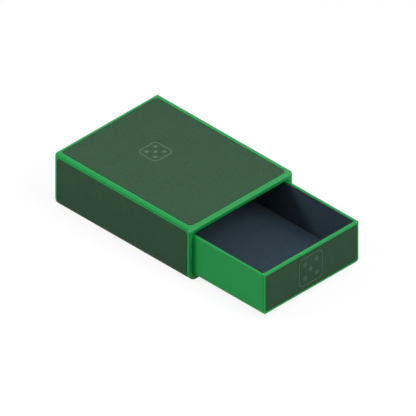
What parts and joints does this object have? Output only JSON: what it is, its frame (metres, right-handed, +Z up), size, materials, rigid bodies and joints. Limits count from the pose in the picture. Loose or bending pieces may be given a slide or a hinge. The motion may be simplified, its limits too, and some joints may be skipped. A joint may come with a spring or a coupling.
{
  "type": "dice storage chest",
  "caption": "Slip-case chest for tabletop dice: a moulded sleeve open at both ends, with let-in leatherette, and a felt-lined drawer that slides through it.",
  "frame": {"origin": "centre of the sleeve's flat underside", "axes": "+Z up; +Y along the sleeve towards its rear mouth, so that the drawer comes out towards -Y; +X to the right, seen from the drawer's front"},
  "size_m": [0.0886, 0.1755, 0.0392],
  "materials": {
    "green_plastic": "satin moulded leaf green plastic",
    "leatherette": "fine-grained matt dark green leatherette",
    "foam": "thin grey foam sheet, hidden",
    "felt": "short-napped slate felt",
    "nickel": "nickel-plated magnet, hidden"
  },
  "bodies": {
    "sleeve": {"sleeve_frame": "green_plastic", "top_panel": "leatherette", "top_backing": "foam", "wrap_panel": "leatherette", "wrap_backing": "foam", "roof_felt": "felt", "floor_felt": "felt", "left_sleeve_magnet": "nickel", "right_sleeve_magnet": "nickel"},
    "drawer": {"drawer_tray": "green_plastic", "front_panel": "leatherette", "rear_panel": "leatherette", "floor_liner": "felt", "left_liner": "felt", "right_liner": "felt", "front_liner": "felt", "rear_liner": "felt", "left_drawer_magnet": "nickel", "right_drawer_magnet": "nickel"}
  },
  "joints": [
    {"name": "drawer_slide", "type": "slide", "parent": "sleeve", "child": "drawer", "axis": [0, -1, 0], "range_m": [-0.16, 0.039]}
  ]
}
